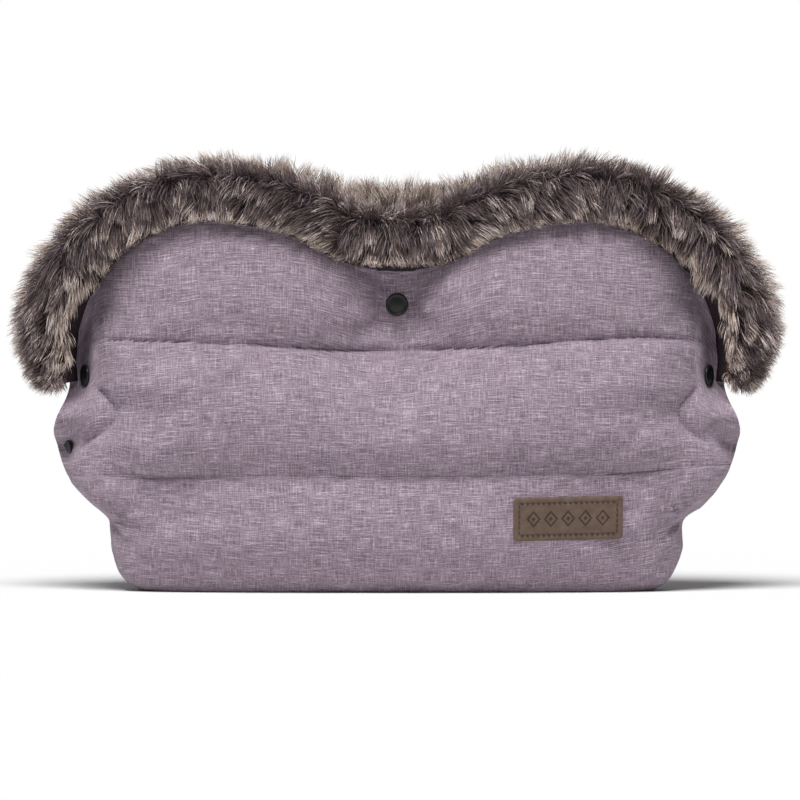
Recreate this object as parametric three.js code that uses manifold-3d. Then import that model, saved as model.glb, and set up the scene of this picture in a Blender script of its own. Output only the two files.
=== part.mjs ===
// Padded hand warmer muff with fur-trimmed hand openings. Millimetres, +Z up, front faces -Y.
// Two padded flaps stand on a boxed pouch. They hinge at the lower quilting seam and are
// held together by press snaps; the lowest pair joins the pouch's own side tabs. Each pad
// is a shell, a wadding and a lining.
import * as THREE from "three";
import Module from "manifold-3d";
import { mergeVertices } from "three/addons/utils/BufferGeometryUtils.js";

const wasm = await Module();
wasm.setup();

// ---- driving dimensions -------------------------------------------------------------
const GAP = 0.3;             // clearance between neighbouring pieces
const SEAM_LOW = 75;         // height of the lower quilting seam, where the flaps hinge
const SEAM_HIGH = 162;       // height of the upper quilting seam
const PAD_SEAM = 7;          // pad thickness at a seam
const PAD_PUFF = 7;          // extra thickness in the middle of a channel
const PAD_SNAP = 5.4;        // pad thickness where a snap clamps it
const FLOOR_PAD = 8;         // thickness of the padded base
const LAYER_SHELL = 0.22;    // part of the pad's thickness that is the outer shell
const LAYER_LINING = 0.2;    // part of the pad's thickness that is the lining
const HAND_DEPTH = 46;       // half depth of the hand cavity at its widest
const STEP_SLOPE = 2.5;      // how steeply the side edges fold outwards at the snaps
const STEP_HALF = 4.5;       // half width of that fold
const SLOT_HEIGHT = 115;     // middle of the slots for the arms of a handlebar
const SLOT_HALF = 21;        // half depth of those slots
const SLOT_REACH = 20;       // half height of those slots
const SNAP_CENTRE_Z = 188;
const SNAP_SIDE = [[200, 141], [211, 91]];   // x, z of the upper and lower side snaps
const TAB_EDGE = 186.5;      // the side tabs' inner edge; they carry the lower side snaps
const TAB_TOP = 101;         // the side tabs' top edge
const CAP_RADIUS = 7.5;
const TRIM_HEIGHT = 32;      // fur trim across its band
const TRIM_DEPTH = 32;       // fur trim front to back
const TRIM_CLEAR = 2.6;      // from the pad's drawn edge to the fur trim
const LABEL = { x: 111.5, z: 49, width: 72, height: 28.5, thick: 1.5, turn: 0.018 };

// half outline: x, z of the pouch side, then of the flap side
const POUCH_SIDE = [[168, 0], [177, 4], [184, 13], [189, 26], [190, 44], [199, 54], [209, 64], [218, 75]];
const POUCH_DEPTH = [[34, 0], [38, 4], [44, 13], [51, 26], [57, 44], [58, 54], [57, 64], [53, 75]];
const FLAP_SIDE = [[218, 75], [223, 90], [226, 104], [221, 120], [216, 132], [217, 150], [216, 300]];
// height of the flap's top edge against its share of the half width
const FLAP_TOP = [[0, 212], [0.12, 213], [0.2, 219], [0.26, 227], [0.33, 234], [0.42, 239],
  [0.5, 242], [0.6, 244], [0.69, 240], [0.77, 233], [0.84, 223], [0.9, 211], [0.95, 195], [1, 168]];
const CAVITY = [[46, 75], [46, 112], [43, 150], [34, 200], [30, 250]];
const COLUMNS = [0, 0.07, 0.17, 0.31, 0.45, 0.59, 0.72, 0.83, 0.92, 1];
const ROWS = [0, 0.12, 0.26, 0.41, 0.57, 0.73, 0.88, 1];

// ---- colours ------------------------------------------------------------------------
const finish = (color, roughness, metalness = 0) =>
  new THREE.MeshStandardMaterial({ color, roughness, metalness });
const FABRIC = finish(0x96859a, 0.9);
const WADDING = finish(0xeceae4, 1);
const LINING = finish(0x8d8288, 0.95);
const FUR = finish(0x786960, 0.95);
const LEATHER = finish(0x7a6554, 0.6);
const THREAD = finish(0x3a2c22, 0.8);
const LACQUER = finish(0x141416, 0.35, 0.4);
const STEEL = finish(0x8d9094, 0.35, 1);

// ---- small maths --------------------------------------------------------------------
const clamp = (v, lo, hi) => Math.min(hi, Math.max(lo, v));
const smooth = (v, lo, hi) => {
  const t = clamp((v - lo) / (hi - lo), 0, 1);
  return t * t * (3 - 2 * t);
};
// value at key, from a table of [value, key] rows
function along(table, key, v = 0, k = 1) {
  let i = 1;
  while (i < table.length - 1 && key > table[i][k]) i++;
  const [a, b] = [table[i - 1], table[i]];
  const t = clamp((key - a[k]) / (b[k] - a[k]), 0, 1);
  return a[v] + (b[v] - a[v]) * t;
}

// ---- closed solids ------------------------------------------------------------------
// A loft through rings of equal length. A round ring is closed by a fan at each end. A layer
// is a ring that runs up one face and down the other: its ends are closed face to face, and
// its second face is split along the other diagonal, so that both faces stay parallel.
function loft(rings, layer = false) {
  const n = rings[0].length;
  const turnAt = layer ? n / 2 : n;
  const pos = [];
  const tri = [];
  rings.forEach((ring) => ring.forEach((p) => pos.push(...p)));
  for (let i = 0; i < rings.length - 1; i++) {
    for (let j = 0; j < n; j++) {
      const a = i * n + j;
      const b = i * n + ((j + 1) % n);
      if (j < turnAt) tri.push(a, b, b + n, a, b + n, a + n);
      else tri.push(a, b, a + n, b, b + n, a + n);
    }
  }
  [0, rings.length - 1].forEach((i, end) => {
    const at = (j) => i * n + j;
    const face = (a, b, c) => (end ? tri.push(a, b, c) : tri.push(b, a, c));
    for (let j = 0; layer && j < turnAt - 1; j++) {
      face(at(j), at(j + 1), at(n - 2 - j));
      face(at(j), at(n - 2 - j), at(n - 1 - j));
    }
    if (layer) return;
    const mid = [0, 1, 2].map((k) => rings[i].reduce((s, p) => s + p[k], 0) / n);
    const c = pos.length / 3;
    pos.push(...mid);
    for (let j = 0; j < n; j++) face(at(j), at((j + 1) % n), c);
  });
  return facingOut(pos, tri);
}

function facingOut(pos, tri) {
  let volume = 0;
  const at = (i) => new THREE.Vector3(pos[3 * i], pos[3 * i + 1], pos[3 * i + 2]);
  for (let i = 0; i < tri.length; i += 3) {
    volume += at(tri[i]).dot(at(tri[i + 1]).cross(at(tri[i + 2])));
  }
  if (volume < 0) {
    for (let i = 0; i < tri.length; i += 3) [tri[i], tri[i + 1]] = [tri[i + 1], tri[i]];
  }
  const geometry = new THREE.BufferGeometry();
  geometry.setAttribute("position", new THREE.Float32BufferAttribute(pos, 3));
  geometry.setIndex(tri);
  return geometry;
}

// The same surface with shared corners merged and empty triangles dropped.
function welded(geometry) {
  const bare = geometry.clone();
  bare.deleteAttribute("normal");
  bare.deleteAttribute("uv");
  const g = mergeVertices(bare, 1e-4);
  const tri = [];
  for (let i = 0; i < g.index.count; i += 3) {
    const [a, b, c] = [g.index.getX(i), g.index.getX(i + 1), g.index.getX(i + 2)];
    if (a !== b && b !== c && c !== a) tri.push(a, b, c);
  }
  return facingOut([...g.attributes.position.array], tri);
}

function solid(geometry) {
  const g = welded(geometry);
  return new wasm.Manifold(new wasm.Mesh({
    numProp: 3,
    vertProperties: new Float32Array(g.attributes.position.array),
    triVerts: new Uint32Array(g.index.array),
  }));
}

// The largest body of a cut solid, as a geometry.
function largest(manifold) {
  const bodies = manifold.decompose().sort((a, b) => b.volume() - a.volume());
  const mesh = bodies[0].getMesh();
  const g = new THREE.BufferGeometry();
  g.setAttribute("position", new THREE.Float32BufferAttribute(mesh.vertProperties, 3));
  g.setIndex([...mesh.triVerts]);
  return g;
}

const turned = (profile, segments = 10) =>
  welded(new THREE.LatheGeometry(profile.map(([r, s]) => new THREE.Vector2(r, s)), segments));

// ---- flap surfaces ------------------------------------------------------------------
// x of the fold that carries the side snaps
const snapLine = (z) =>
  Math.min(clamp(SNAP_SIDE[1][0] - (z - 91) * 0.22, 200, 211), along(FLAP_SIDE, z) - 7);

// How far a handlebar slot is open at height z.
const slotShare = (z) => Math.max(0, 1 - ((z - SLOT_HEIGHT) / SLOT_REACH) ** 2);

// Where the two flaps meet: a plane that folds backwards along each side.
function meeting(x, z) {
  const reach = smooth(z, 74, 84) * (1 - smooth(z, 156, 190)) * smooth(Math.abs(x), 80, 190)
    * (1 - slotShare(z));
  return reach * STEP_SLOPE * clamp(Math.abs(x) - snapLine(z), -STEP_HALF, STEP_HALF);
}

// Half of the space between the flaps.
function halfGap(x, z) {
  const edge = snapLine(z) - STEP_HALF - 1;
  const t = Math.min(Math.abs(x) / edge, 1);
  const pinch = 1 - Math.exp(-((x / 48) ** 2)) * smooth(z, 110, 180);
  const slot = SLOT_HALF * slotShare(z) * smooth(Math.abs(x), 150, 196);
  return GAP + Math.max(along(CAVITY, z) * (1 - t ** 6) * pinch, slot);
}

function padThickness(x, z) {
  const upper = along(FLAP_TOP, Math.min(Math.abs(x) / 216, 1), 1, 0);
  const [lo, hi] = z < SEAM_HIGH ? [SEAM_LOW, SEAM_HIGH] : [SEAM_HIGH, Math.max(upper, SEAM_HIGH + 5)];
  const channel = Math.sin(Math.PI * clamp((z - lo) / (hi - lo), 0, 1)) ** 0.7;
  let thick = PAD_SEAM + PAD_PUFF * channel;
  const hug = 1 - smooth(Math.hypot(x, z - SNAP_CENTRE_Z), 9, 42);
  const side = smooth(Math.abs(x), snapLine(z) - 34, snapLine(z) - 9);
  thick += (PAD_SNAP - thick) * Math.max(hug, side);
  return thick;
}

// Depth of the flap's surface; part 0 is the inner face and 1 the outer face.
function flapDepth(x, z, face, part, shift) {
  const base = (u) => meeting(u, z) + face * halfGap(u, z);
  const slope = Math.min(Math.max(Math.abs(base(x + 1) - base(x)), Math.abs(base(x) - base(x - 1))), 2.6);
  const stretch = Math.sqrt(1 + slope * slope);
  return base(x) + face * (part * padThickness(x, z) + shift) * stretch;
}

// x of each column of a flap at height z: the body's columns, then the fold and the edge.
function columnsAt(z) {
  const fold = snapLine(z);
  const half = [...COLUMNS.map((s) => s * (fold - STEP_HALF - 1)), fold - STEP_HALF, fold + STEP_HALF,
    along(FLAP_SIDE, z)];
  return [...half.slice(1).reverse().map((x) => -x), ...half];
}

// One layer of a flap between two parts of its thickness. face is -1 in front, 1 behind.
function flapLayer(face, inner, innerShift, outer, outerShift) {
  const rings = columnsAt(200).map((atTop, column) => {
    const top = along(FLAP_TOP, Math.abs(atTop) / 216, 1, 0);
    const spots = ROWS.map((v) => {
      const z = SEAM_LOW + GAP + v * (top - SEAM_LOW - GAP);
      return [columnsAt(z)[column], z];
    });
    const sheet = (part, shift) => spots.map(([x, z]) => [x, flapDepth(x, z, face, part, shift), z]);
    return [...sheet(inner, innerShift), ...sheet(outer, outerShift).reverse()];
  });
  return solid(loft(rings, true));
}

// ---- pouch --------------------------------------------------------------------------
const pouchPoint = (u, halfX, halfY) => {
  const power = 2 / 2.8;
  const [c, s] = [Math.cos(u), Math.sin(u)];
  return [halfX * Math.sign(c) * Math.abs(c) ** power, halfY * Math.sign(s) * Math.abs(s) ** power];
};

// The pouch's volume at one part of its wall's thickness; open cutters rise past the rim.
function pouchVolume(part, shift, cutter) {
  const rings = POUCH_SIDE.map(([side, z], i) => {
    const channel = Math.sin(Math.PI * clamp(z / SEAM_LOW, 0.25, 1)) ** 0.7;
    const inset = part * (PAD_SEAM + PAD_PUFF * channel) + shift;
    const rise = (part * FLOOR_PAD + shift) * (1 - z / SEAM_LOW);
    const level = Math.min(z + rise, SEAM_LOW - GAP);
    return Array.from({ length: 28 }, (_, k) => {
      const [x, y] = pouchPoint((k / 28) * 2 * Math.PI, side - inset, POUCH_DEPTH[i][0] - inset);
      return [x, y, level];
    });
  });
  if (cutter) rings.push(rings[rings.length - 1].map(([x, y]) => [x, y, SEAM_LOW + 10]));
  return solid(loft(rings));
}

const pouchLayer = (outer, outerShift, inner, innerShift) =>
  pouchVolume(outer, outerShift, false).subtract(pouchVolume(inner, innerShift, true));

// ---- assembly -----------------------------------------------------------------------
const muff = new THREE.Group();
function add(name, geometry, material, matrix) {
  const mesh = new THREE.Mesh(geometry, material);
  mesh.name = name;
  if (matrix) mesh.applyMatrix4(matrix);
  muff.add(mesh);
}

// pouch
const HALF = GAP / 2;
add("pouch_shell", largest(pouchLayer(0, 0, LAYER_SHELL, -HALF)), FABRIC);
add("pouch_wadding", largest(pouchLayer(LAYER_SHELL, HALF, 1 - LAYER_LINING, -HALF)), WADDING);
add("pouch_lining", largest(pouchLayer(1 - LAYER_LINING, HALF, 1, 0)), LINING);

// snaps: each is a stack along its own axis, from the meeting plane (0) outwards
const tilt = Math.atan(STEP_SLOPE);
const snaps = [["centre", 0, SNAP_CENTRE_Z, 0]];
SNAP_SIDE.forEach(([x, z], i) => {
  const level = i ? "lower" : "upper";
  snaps.push([`${level}_left`, -x, z, -tilt], [`${level}_right`, x, z, tilt]);
});
const frameOf = (x, z, lean) => {
  const axis = new THREE.Vector3(Math.sin(lean), -Math.cos(lean), 0);
  const side = new THREE.Vector3(0, 0, 1).cross(axis).normalize();
  return new THREE.Matrix4().makeBasis(side, axis, new THREE.Vector3().crossVectors(side, axis))
    .setPosition(x, 0, z);
};
const CAP = [[0, 2.5], [1.5, 2.5], [1.5, 5.7], [6.9, 5.7], [CAP_RADIUS, 6.4], [6.6, 7.4], [0, 7.6]];
const SOCKET = [[2.9, 0.15], [5.8, 0.15], [6.2, 0.5], [6.2, 1.9], [0, 2.2], [0, 1.5], [2.9, 1.5], [2.9, 0.15]];
const STUD = [[0, -1.35], [5.6, -1.35], [6, -1], [6, -0.15], [2.3, -0.15], [1.4, 0.85], [0, 1]];
const POST = [[0, -7.4], [6.4, -7.4], [7, -6.8], [7, -5.7], [1.5, -5.7], [1.5, -1.65], [0, -1.65]];
const FRONT_RECESS = [[0, -0.5], [6.6, -0.5], [6.6, 2.5], [1.9, 2.5], [1.9, 5.4], [8, 5.4], [8, 14], [0, 14]];
const BACK_RECESS = [[0, -14], [7.5, -14], [7.5, -5.4], [1.9, -5.4], [1.9, -1.65], [6.6, -1.65],
  [6.6, 0.5], [0, 0.5]];
const cutters = [];
snaps.forEach(([name, x, z, lean]) => {
  const frame = frameOf(x, z, lean);
  add(`snap_cap_${name}`, turned(CAP), LACQUER, frame);
  add(`snap_socket_${name}`, turned(SOCKET), STEEL, frame);
  add(`snap_stud_${name}`, turned(STUD), STEEL, frame);
  add(`snap_post_${name}`, turned(POST), LACQUER, frame);
  [FRONT_RECESS, BACK_RECESS].forEach((recess) => {
    cutters.push(solid(turned(recess).applyMatrix4(frame)));
  });
});

// fur trims: a soft band along the sides and the double arch of each flap's edge
const rim = new THREE.CatmullRomCurve3([
  [215, 131], [216.5, 150], [214, 172], [206, 194], [194, 211], [180, 223], [163, 233], [147, 240],
  [128, 244], [108, 242.5], [88, 239.5], [70, 234.5], [55, 227], [42, 219.5], [26, 214.5],
].map(([x, z]) => new THREE.Vector3(x, 0, z)));
const halfRim = rim.getSpacedPoints(15).map((p) => [p.x, p.z]);
const fullRim = [...halfRim, [0, 213.5], ...halfRim.slice().reverse().map(([x, z]) => [-x, z])];
function trim(face) {
  const rings = fullRim.map(([x, z], i) => {
    const a = fullRim[Math.max(i - 1, 0)];
    const b = fullRim[Math.min(i + 1, fullRim.length - 1)];
    const run = Math.hypot(b[0] - a[0], b[1] - a[1]);
    const [nx, nz] = [(b[1] - a[1]) / run, -(b[0] - a[0]) / run];   // away from the pad
    const end = Math.min(i, fullRim.length - 1 - i);
    const taper = end === 0 ? 0.7 : 1;
    const pad = halfGap(x * 0.98, z - 4) + PAD_SEAM / 2;
    const centre = face * Math.max(TRIM_DEPTH / 2 + 1, pad + 3);
    const height = TRIM_HEIGHT * taper;
    return Array.from({ length: 10 }, (_, k) => {
      const [h, d] = pouchPoint((k / 10) * 2 * Math.PI, height / 2, (TRIM_DEPTH / 2) * taper);
      const out = TRIM_CLEAR + height / 2 + h;
      return [x + nx * out, centre + d, z + nz * out];
    });
  });
  return loft(rings);
}

// the corner of a flap that stays on the pouch, at one side
function corner(side, spare) {
  const [width, height] = [60, 40];
  return solid(new THREE.BoxGeometry(width, 200, height).translate(
    side * (TAB_EDGE + width / 2 - spare), 0, TAB_TOP - height / 2 + spare));
}

// flaps, with their lower corners cut away, and the tabs that fill those corners
[["front", -1], ["back", 1]].forEach(([name, face]) => {
  const snapped = (layer) => cutters.reduce((body, hole) => body.subtract(hole), layer);
  const cut = (layer) => largest(snapped(layer).subtract(corner(-1, GAP)).subtract(corner(1, GAP)));
  add(`${name}_lining`, cut(flapLayer(face, 0, 0, LAYER_LINING, -HALF)), LINING);
  add(`${name}_wadding`, cut(flapLayer(face, LAYER_LINING, HALF, 1 - LAYER_SHELL, -HALF)), WADDING);
  add(`${name}_shell`, cut(flapLayer(face, 1 - LAYER_SHELL, HALF, 1, 0)), FABRIC);
  add(`${name}_fur_trim`, trim(face), FUR);
  [["left", -1], ["right", 1]].forEach(([end, side]) => {
    const tab = flapLayer(face, 0, 0, 1, 0).intersect(corner(side, 0));
    add(`tab_${name}_${end}`, largest(snapped(tab)), FABRIC);
  });
});

// label: a leather patch with a stitched groove near its edge, tangent to the pouch's front
function frameOfLabel() {
  const spot = (x, z) => {
    const [side, depth] = [along(POUCH_SIDE, z), along(POUCH_DEPTH, z)];
    return new THREE.Vector3(x, -depth * (1 - (x / side) ** 2.8) ** (1 / 2.8), z);
  };
  const origin = spot(LABEL.x, LABEL.z);
  const right = spot(LABEL.x + 6, LABEL.z).sub(spot(LABEL.x - 6, LABEL.z)).normalize();
  const up = spot(LABEL.x, LABEL.z + 8).sub(spot(LABEL.x, LABEL.z - 8)).normalize();
  const out = new THREE.Vector3().crossVectors(right, up).normalize();
  origin.addScaledVector(out, 0.7);
  return new THREE.Matrix4().makeBasis(right, up.crossVectors(out, right), out)
    .setPosition(origin).multiply(new THREE.Matrix4().makeRotationZ(LABEL.turn));
}
function roundedRect(width, height, radius) {
  const [w, h] = [width / 2, height / 2];
  const shape = new THREE.Shape();
  shape.moveTo(-w + radius, -h);
  shape.lineTo(w - radius, -h);
  shape.quadraticCurveTo(w, -h, w, -h + radius);
  shape.lineTo(w, h - radius);
  shape.quadraticCurveTo(w, h, w - radius, h);
  shape.lineTo(-w + radius, h);
  shape.quadraticCurveTo(-w, h, -w, h - radius);
  shape.lineTo(-w, -h + radius);
  shape.quadraticCurveTo(-w, -h, -w + radius, -h);
  return shape;
}
function ring(inset, width, from, depth) {
  const outer = roundedRect(LABEL.width - 2 * inset, LABEL.height - 2 * inset, 1.6);
  const hole = roundedRect(LABEL.width - 2 * (inset + width), LABEL.height - 2 * (inset + width), 1);
  outer.holes.push(new THREE.Path(hole.getPoints(3)));
  return new THREE.ExtrudeGeometry(outer, { depth, bevelEnabled: false, curveSegments: 3 })
    .translate(0, 0, from);
}
const labelFrame = frameOfLabel();
const patch = new THREE.ExtrudeGeometry(roundedRect(LABEL.width, LABEL.height, 2.5),
  { depth: LABEL.thick, bevelEnabled: false, curveSegments: 4 });
const groove = ring(2.9, 1.6, LABEL.thick - 0.8, 2);
add("label_patch", largest(solid(patch).subtract(solid(groove))), LEATHER, labelFrame);
add("label_thread", ring(3.2, 1, LABEL.thick - 0.5, 0.5), THREAD, labelFrame);

export default muff;
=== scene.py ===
"""Padded hand muff with fur-trimmed hand openings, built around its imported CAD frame."""
import math

import bmesh
import bpy
import numpy as np
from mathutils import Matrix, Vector


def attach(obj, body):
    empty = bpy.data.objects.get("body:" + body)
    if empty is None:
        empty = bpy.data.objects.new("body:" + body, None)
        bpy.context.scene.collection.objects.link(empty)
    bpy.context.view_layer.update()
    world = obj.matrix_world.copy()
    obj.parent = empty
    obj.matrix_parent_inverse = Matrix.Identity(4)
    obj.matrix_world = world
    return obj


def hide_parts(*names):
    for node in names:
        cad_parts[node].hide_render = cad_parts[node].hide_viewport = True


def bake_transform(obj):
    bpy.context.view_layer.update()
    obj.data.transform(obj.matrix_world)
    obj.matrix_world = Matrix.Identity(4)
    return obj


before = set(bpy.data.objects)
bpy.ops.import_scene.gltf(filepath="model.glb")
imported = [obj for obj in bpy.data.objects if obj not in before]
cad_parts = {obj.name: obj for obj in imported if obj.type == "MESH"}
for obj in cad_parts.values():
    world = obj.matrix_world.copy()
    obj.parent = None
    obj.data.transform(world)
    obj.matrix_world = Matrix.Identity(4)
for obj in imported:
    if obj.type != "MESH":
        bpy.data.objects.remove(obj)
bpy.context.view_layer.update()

MM = 0.001

# ---- shape of the muff, in millimetres ----
SEAM_LOW = 75.0
SEAM_SIDE = 217.0  # half width of the pouch at its upper seam
RIM_TOP = 86.0  # the flaps leave the pouch's outline above this height
FLAP_HALF = 216.0  # half width of a flap's arched edge
FLAP_RISE = 160.0  # a flap's height over its arches
GAP = 0.3  # kept between the two flaps where they meet
HUG = 5.4  # pad thickness where a snap clamps it
STEP_HALF = 4.5  # half width of the fold that carries the side snaps
STEP_SLOPE = 2.5  # how steeply that fold turns outwards
FOLD_FOOT = (74, 84)  # the fold begins over these heights
FOLD_TOP = (156, 190)  # and ends over these
SNAP_CENTRE = (0.0, 188.0)
SNAP_SIDE = ((200.0, 141.0), (211.0, 91.0))
SNAP_TILT = math.atan(STEP_SLOPE)
SNAP_HOLD = 11.0  # the pad can't swell this close to a snap
SLOT_HEIGHT = 115.0  # of the side slots for a handlebar's arms
SLOT_REACH = 20.0  # half height of a slot
SLOT_HALF = 21.0  # half of its width across the muff
TAB_EDGE = 186.5  # inner edge of the side tabs that carry the lower snaps
TAB_TOP = 101.0
LABEL = dict(x=111.5, z=49.0, width=72.0, height=28.5, thick=1.5, turn=0.018)
LABEL_SEAM = 3.7  # from the label's edge to its stitches
POUCH_POWER = 2.8  # of the rounded outline that the pouch has from above
POUCH_RING = np.array([190.0, 56.0])  # half width and half depth of that outline
LINING_SHARE = 0.19  # of a pad's thickness
SHELL_FOOT = 0.21  # where the shell begins, as a share of the thickness
SHELL_LIFT = 0.59  # how much further out it begins over the wadding
TRIM_OUT = 2.6 + 16.0  # from the pad's edge to the middle of the fur trim
ROLL = 11.0  # radius of the fur trim's backing


def curve(rows, soften):
    """A smooth function through (key, value) rows."""
    keys, values = np.array(rows, float).T
    fine = np.arange(keys[0] - 4 * soften, keys[-1] + 4 * soften, soften / 6)
    raw = np.interp(fine, keys, values)
    kernel = np.exp(-0.5 * (np.arange(-18, 19) / 6.0) ** 2)
    padded = np.pad(raw, 18, mode="edge")
    smoothed = np.convolve(padded, kernel / kernel.sum(), mode="valid")
    return lambda v: np.interp(v, fine, smoothed)


pouch_side = curve([(0, 168), (4, 177), (13, 184), (26, 188.5), (40, 189), (46, 189), (54, 199),
                    (64, 209), (75, 217), (84, 221), (92, 223.5)], 2.5)
pouch_depth = curve([(0, 34), (4, 39), (13, 46), (26, 53), (42, 58), (54, 59.5), (64, 58.5),
                     (71, 55), (75, 52), (88, 52)], 2.5)
flap_side = curve([(60, 209), (75, 217), (84, 221), (92, 223.5), (104, 226.5), (116, 223), (125, 218),
                   (134, 216), (150, 217), (175, 216), (300, 216)], 3)
cavity = curve([(60, 46), (112, 46), (150, 43), (200, 34), (250, 30)], 8)
ARCH = [(26, 213), (43, 219), (56, 227), (71, 234), (91, 239), (108, 242), (130, 244), (149, 240),
        (166, 233), (181, 223), (194, 211), (205, 195), (216, 168)]
flap_top = curve([(-x, z) for x, z in ARCH[::-1]] + [(0, 212)] + ARCH, 3)
seam_high = curve([(-216, 165), (-120, 163.5), (-60, 160), (-20, 157), (40, 159), (110, 164),
                   (165, 168), (205, 163)], 14)
seam_low = curve([(-206, 75), (100, 75), (150, 77.5), (206, 83)], 14)


def smooth(v, lo, hi):
    """A smooth step from 0 at lo to 1 at hi."""
    t = np.clip((v - lo) / (hi - lo), 0, 1)
    return t * t * (3 - 2 * t)


def snap_line(z):
    """Distance of the side snaps' line from the middle."""
    return np.minimum(np.clip(211 - (z - 91) * 0.22, 200, 211), flap_side(z) - 7)


def slot_share(z):
    """How far a handlebar slot is open."""
    return np.maximum(0, 1 - ((z - SLOT_HEIGHT) / SLOT_REACH) ** 2) ** 1.4


def meeting(x, z):
    """Where the two flaps meet: the side edges fold backwards at the snaps."""
    reach = smooth(z, *FOLD_FOOT) * (1 - smooth(z, *FOLD_TOP)) * smooth(np.abs(x), 80, 190)
    reach = reach * (1 - slot_share(z))
    return reach * STEP_SLOPE * STEP_HALF * np.tanh((np.abs(x) - snap_line(z)) / STEP_HALF)


def half_gap(x, z):
    """Half of the room between the two flaps, for hands, grip and a handlebar's arms."""
    t = np.minimum(np.abs(x) / (snap_line(z) - STEP_HALF - 1), 1)
    pinch = 1 - np.exp(-((x / 48) ** 2)) * smooth(z, 110, 180)
    slot = SLOT_HALF * slot_share(z) * smooth(np.abs(x), 150, 196)
    return GAP + np.maximum(cavity(z) * (1 - t ** 6) * pinch, slot)


def pouch_y(x, z, inset=0.0):
    """Half depth of the pouch at a place on its front."""
    side, depth = pouch_side(z) - inset, pouch_depth(z) - inset
    inside = np.clip(1 - np.minimum(np.abs(x) / side, 1) ** POUCH_POWER, 0, 1)
    return depth * inside ** (1 / POUCH_POWER)


def thickness(x, z):
    """Thickness of a flap's pad: puffed channels between drawn-in seams."""
    top, high, low = flap_top(x), seam_high(x), seam_low(x)
    lower = np.clip((z - low) / (high - low), 0, 1)
    upper = np.clip((z - high) / np.maximum(top + 6 - high, 8), 0, 1)
    share = np.where(z < high, lower, upper)
    room = np.where(z < high, 1.0, np.clip((top - high) / 60, 0.15, 1))
    pad = 7.0 + 9.5 * room * np.sin(np.pi * share) ** 0.6
    hug = 1 - smooth(np.hypot(x - SNAP_CENTRE[0], z - SNAP_CENTRE[1]), 8, 40)
    side = smooth(np.abs(x), snap_line(z) - 46, snap_line(z) - 6)
    pad += (HUG - pad) * np.maximum(hug, side)
    return pad - 2.6 * np.exp(-np.abs(z - high) / 4.5) * (1 - smooth(np.abs(x), 196, 208))


def ripples(x, z, seed, count, size, amount):
    """Soft random creases, the same in every run."""
    rng = np.random.default_rng(seed)
    total = np.zeros_like(x)
    for _ in range(count):
        cx, cz = rng.uniform(-210, 210), rng.uniform(0, 245)
        angle, phase = rng.normal(0, 0.55), rng.uniform(0, 6.28)
        along = (x - cx) * math.cos(angle) + (z - cz) * math.sin(angle)
        across = -(x - cx) * math.sin(angle) + (z - cz) * math.cos(angle)
        reach = size * rng.uniform(0.6, 1.5)
        falloff = np.exp(-((along / (reach * 1.9)) ** 2) - (across / reach) ** 2)
        total += rng.uniform(0.3, 1) * falloff * np.cos(across / reach * 2.6 + phase)
    return total * amount


def gathers(x, z, spot, reach, folds, amount, phase=0.0, inner=7.0):
    """Drag folds that run outwards from one spot."""
    dx, dz = x - spot[0], z - spot[1]
    r = np.hypot(dx, dz)
    angle = np.arctan2(dz, dx)
    wave = np.cos(folds * angle + phase) + 0.5 * np.cos((folds * 1.7) * angle + 2.1 * phase + 1)
    return amount * wave * np.exp(-r / reach) * smooth(r, inner * 0.6, inner * 2)


def puckers(x, z, line, seed, amount=0.55):
    """Small upright creases along a sewn line."""
    rng = np.random.default_rng(seed)
    wave = np.zeros_like(x)
    for _ in range(26):
        wave += np.cos(x / rng.uniform(3.2, 13) + rng.uniform(0, 6.28)) * rng.uniform(0.15, 0.5)
    off = np.abs(z - line)
    return amount * wave * 0.45 * np.exp(-off / 9) * smooth(off, 0.3, 4)


def relief(x, z, face):
    """Creases of the outer fabric, in millimetres outwards."""
    seed = 11 if face < 0 else 41
    total = ripples(x, z, seed, 70, 17, 0.75) + ripples(x, z, seed + 1, 150, 7, 0.28)
    for line, extra in ((seam_low(x), 2), (seam_high(x), 3)):
        total += puckers(x, z, line, seed + extra)
    high_groove = 1.5 * np.exp(-((z - seam_high(x)) / 2.2) ** 2)
    low_groove = 1.2 * np.exp(-((z - seam_low(x)) / 2) ** 2)
    total -= high_groove + low_groove
    total += gathers(x, z, SNAP_CENTRE, 24, 7, 1.7, 0.7, 9)
    for side in (-1, 1):
        total += gathers(x, z, (side * SNAP_SIDE[0][0], SNAP_SIDE[0][1]), 15, 9, 0.9, 0.4, 8)
        total += gathers(x, z, (side * 190, 48), 24, 9, 2.0, 0.9 * side, 5)
    return total


# ---- meshes ----
def link(mesh, name):
    obj = bpy.data.objects.new(name, mesh)
    bpy.context.scene.collection.objects.link(obj)
    return obj


def make(name, points, faces, materials, uv=None, face_slots=None):
    """A mesh object from points in millimetres."""
    mesh = bpy.data.meshes.new(name)
    points = np.asarray(points, float) * MM
    mesh.from_pydata(points.tolist(), [], [list(map(int, f)) for f in faces])
    for material in materials:
        mesh.materials.append(material)
    if uv is not None:
        loops = np.empty(len(mesh.loops), np.int32)
        mesh.loops.foreach_get("vertex_index", loops)
        layer = mesh.uv_layers.new(name="cloth")
        layer.data.foreach_set("uv", (np.asarray(uv, float)[loops] * MM).ravel())
    if face_slots is not None:
        mesh.polygons.foreach_set("material_index", np.asarray(face_slots, np.int32))
    mesh.shade_smooth()
    mesh.update()
    return link(mesh, name)


def settle(obj, body, node=None):
    """Puts a piece on its body, in place of its CAD node if it has one."""
    if node:
        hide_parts(node)
    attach(obj, body)


def column_quads(index, wrap):
    """Faces of a grid of point numbers, column by column."""
    for i in range(len(index) if wrap else len(index) - 1):
        a, b = index[i], index[(i + 1) % len(index)]
        yield a, b, np.stack([a[:-1], b[:-1], b[1:], a[1:]], 1)


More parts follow.
